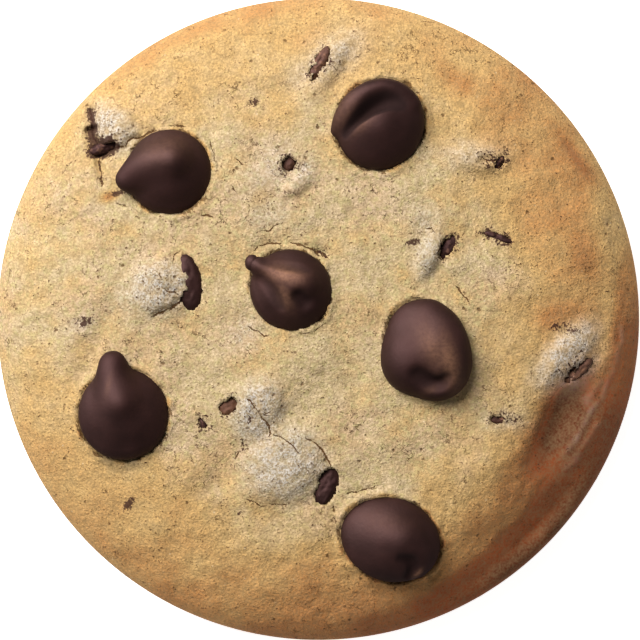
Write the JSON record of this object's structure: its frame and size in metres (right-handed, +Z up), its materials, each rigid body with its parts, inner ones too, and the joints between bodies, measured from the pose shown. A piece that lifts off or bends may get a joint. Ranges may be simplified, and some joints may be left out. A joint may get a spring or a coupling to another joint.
{
  "type": "chocolate chip cookie",
  "caption": "Round, low-domed baked biscuit with a sandy golden crust and teardrop chocolate chips standing proud of its top.",
  "frame": {"origin": "centre of the flat underside, on the surface that the cookie lies on", "axes": "+Z up through the crown, +X to the right and +Y to the top of the picture, which looks straight down"},
  "size_m": [0.075, 0.075, 0.0156],
  "materials": {
    "baked_dough": "dry, sandy, finely pitted and cracked crust, pale gold with browner rim and pale dusty swells",
    "chocolate": "satin dark chocolate with a faint dull bloom and soft broad highlights"
  },
  "bodies": {
    "root": {"cookie_dough": "baked_dough", "chip_top": "chocolate", "chip_upper_left": "chocolate", "chip_centre": "chocolate", "chip_right": "chocolate", "chip_lower_left": "chocolate", "chip_bottom": "chocolate", "sunk_chip_left": "chocolate", "sunk_chip_lower": "chocolate", "sunk_chip_right": "chocolate", "sunk_chip_top": "chocolate", "sunk_chip_rim": "chocolate", "sunk_chip_far": "chocolate", "chip_in_pit": "chocolate", "chip_in_crack": "chocolate", "chip_in_hollow": "chocolate", "shard_right": "chocolate", "shard_lower_right": "chocolate", "shard_left": "chocolate"}
  },
  "joints": []
}
